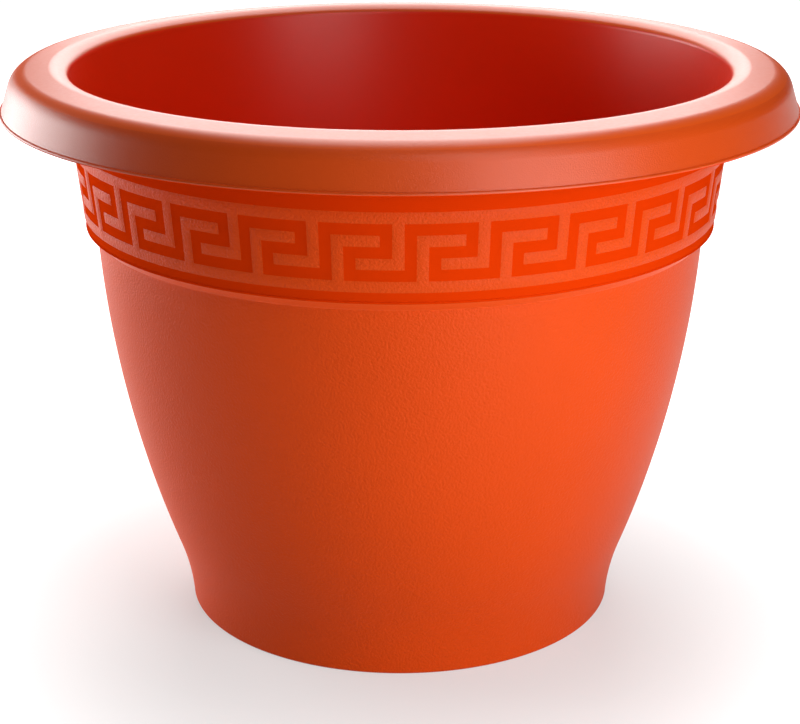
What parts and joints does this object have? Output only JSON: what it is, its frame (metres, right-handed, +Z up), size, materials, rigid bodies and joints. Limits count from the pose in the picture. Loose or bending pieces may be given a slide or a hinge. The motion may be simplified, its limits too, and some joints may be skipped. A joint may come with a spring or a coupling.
{
  "type": "flower pot",
  "caption": "Round tapered plastic planter with a hollow rolled-over rim, a raised meander band, a foot ring and lift-out drain plugs.",
  "frame": {"origin": "centre of the foot ring, on the ground", "axes": "+Z up along the pot's axis, -Y to the front, +X to the right as seen from the front"},
  "size_m": [0.4022, 0.4022, 0.29],
  "materials": {
    "terracotta_plastic": "fine sand grain outside, smooth and glossier inside",
    "plug_plastic": "smooth moulded"
  },
  "bodies": {
    "pot": {"pot_shell": "terracotta_plastic"},
    "front_left_plug": {"drain_plug_front_left": "plug_plastic"},
    "front_right_plug": {"drain_plug_front_right": "plug_plastic"},
    "back_left_plug": {"drain_plug_back_left": "plug_plastic"},
    "back_right_plug": {"drain_plug_back_right": "plug_plastic"}
  },
  "joints": [
    {"name": "lift_front_left_plug", "type": "slide", "parent": "pot", "child": "front_left_plug", "axis": [0, 0, 1], "range_m": [0, 0.31]},
    {"name": "lift_front_right_plug", "type": "slide", "parent": "pot", "child": "front_right_plug", "axis": [0, 0, 1], "range_m": [0, 0.31]},
    {"name": "lift_back_left_plug", "type": "slide", "parent": "pot", "child": "back_left_plug", "axis": [0, 0, 1], "range_m": [0, 0.31]},
    {"name": "lift_back_right_plug", "type": "slide", "parent": "pot", "child": "back_right_plug", "axis": [0, 0, 1], "range_m": [0, 0.31]}
  ]
}
